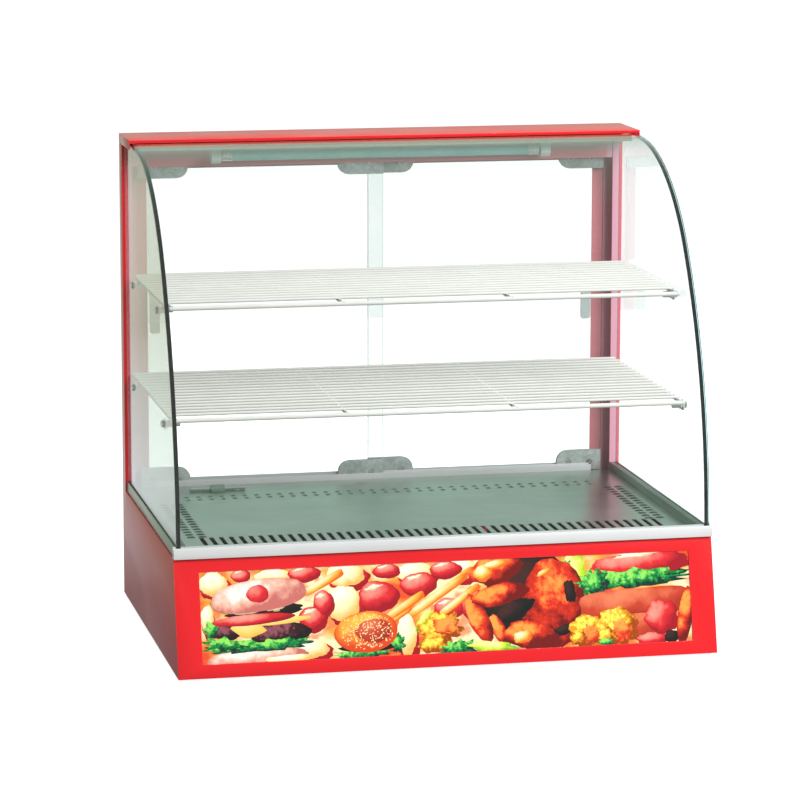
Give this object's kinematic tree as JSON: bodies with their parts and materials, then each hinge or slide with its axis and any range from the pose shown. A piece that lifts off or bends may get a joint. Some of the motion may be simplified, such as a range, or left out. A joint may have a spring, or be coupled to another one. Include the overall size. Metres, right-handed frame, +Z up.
{
  "type": "hot food display case",
  "caption": "Countertop heated display case with a bent front glass, glass sides, wire shelves, a perforated deck and sliding rear doors on a sheet-metal base.",
  "frame": {"origin": "centre of the whole case's footprint, on the worktop that the feet stand on", "axes": "+X to the right as seen from the front, along the width; +Y to the back, where the doors and controls are; +Z up"},
  "size_m": [0.66, 0.484, 0.602],
  "materials": {
    "red_paint": "gloss powder coat",
    "satin_steel": "satin stainless sheet",
    "trim_aluminium": "satin anodised",
    "element_steel": "heat-stained tube",
    "mirror_steel": "polished sheet",
    "chrome": "bright plate",
    "clear_glass": "clear, green at its edges",
    "lamp_glass": "white coated tube",
    "white_coat": "white dipped coating",
    "picture": null,
    "white_plastic": "moulded",
    "handle_plastic": "clear grey",
    "black_plastic": "moulded",
    "red_plastic": "moulded",
    "red_lens": "clear lens",
    "green_lens": "clear lens",
    "rubber": "moulded"
  },
  "bodies": {
    "cabinet": {"left_side_panel": "red_paint", "right_side_panel": "red_paint", "front_panel": "red_paint", "rear_panel": "red_paint", "base_floor": "satin_steel", "picture_panel": "picture", "front_trim": "trim_aluminium", "left_trim": "satin_steel", "right_trim": "satin_steel", "deck_plate": "satin_steel", "heating_element": "element_steel", "rear_element_bracket": "satin_steel", "front_element_bracket": "satin_steel", "temperature_probe": "chrome", "probe_clip": "satin_steel", "top_rail": "red_paint", "top_cap": "red_paint", "top_liner": "mirror_steel", "left_lamp_holder": "white_plastic", "right_lamp_holder": "white_plastic", "lamp_tube": "lamp_glass", "front_glass": "clear_glass", "left_glass": "clear_glass", "right_glass": "clear_glass", "bottom_track": "trim_aluminium", "thermostat_body": "black_plastic", "heat_switch_body": "black_plastic", "light_switch_body": "black_plastic", "heat_indicator": "red_lens", "power_indicator": "green_lens", "cord_inlet": "black_plastic", "upper_left_rear_peg": "chrome", "upper_left_front_peg": "chrome", "upper_right_rear_peg": "chrome", "upper_right_front_peg": "chrome", "lower_left_rear_peg": "chrome", "lower_left_front_peg": "chrome", "lower_right_rear_peg": "chrome", "lower_right_front_peg": "chrome", "left_front_foot": "rubber", "left_rear_foot": "rubber", "right_front_foot": "rubber", "right_rear_foot": "rubber"},
    "left_door": {"left_door_glass": "clear_glass", "left_door_handle": "handle_plastic", "left_door_left_top_clip": "satin_steel", "left_door_left_bottom_clip": "satin_steel", "left_door_right_top_clip": "satin_steel", "left_door_right_bottom_clip": "satin_steel"},
    "right_door": {"right_door_glass": "clear_glass", "right_door_handle": "handle_plastic", "right_door_left_top_clip": "satin_steel", "right_door_left_bottom_clip": "satin_steel", "right_door_right_top_clip": "satin_steel", "right_door_right_bottom_clip": "satin_steel"},
    "upper_shelf": {"upper_shelf": "white_coat"},
    "lower_shelf": {"lower_shelf": "white_coat"},
    "thermostat_knob": {"thermostat_knob": "black_plastic"},
    "heat_rocker": {"heat_switch_rocker": "red_plastic"},
    "light_rocker": {"light_switch_rocker": "red_plastic"}
  },
  "joints": [
    {"name": "left_door_slide", "type": "slide", "parent": "cabinet", "child": "left_door", "axis": [1, 0, 0], "range_m": [0, 0.3]},
    {"name": "right_door_slide", "type": "slide", "parent": "cabinet", "child": "right_door", "axis": [-1, 0, 0], "range_m": [0, 0.3]},
    {"name": "upper_shelf_lift", "type": "slide", "parent": "cabinet", "child": "upper_shelf", "axis": [0, 0, 1], "range_m": [0, 0.025]},
    {"name": "lower_shelf_lift", "type": "slide", "parent": "cabinet", "child": "lower_shelf", "axis": [0, 0, 1], "range_m": [0, 0.025]},
    {"name": "thermostat_turn", "type": "hinge", "parent": "cabinet", "child": "thermostat_knob", "pos_m": [0.205, 0.228, 0.072], "axis": [0, -1, 0], "range_deg": [0, 270]},
    {"name": "heat_switch_rock", "type": "hinge", "parent": "cabinet", "child": "heat_rocker", "pos_m": [0.1, 0.225, 0.072], "axis": [1, 0, 0], "range_deg": [0, 24]},
    {"name": "light_switch_rock", "type": "hinge", "parent": "cabinet", "child": "light_rocker", "pos_m": [0.055, 0.225, 0.072], "axis": [1, 0, 0], "range_deg": [0, 24]}
  ]
}
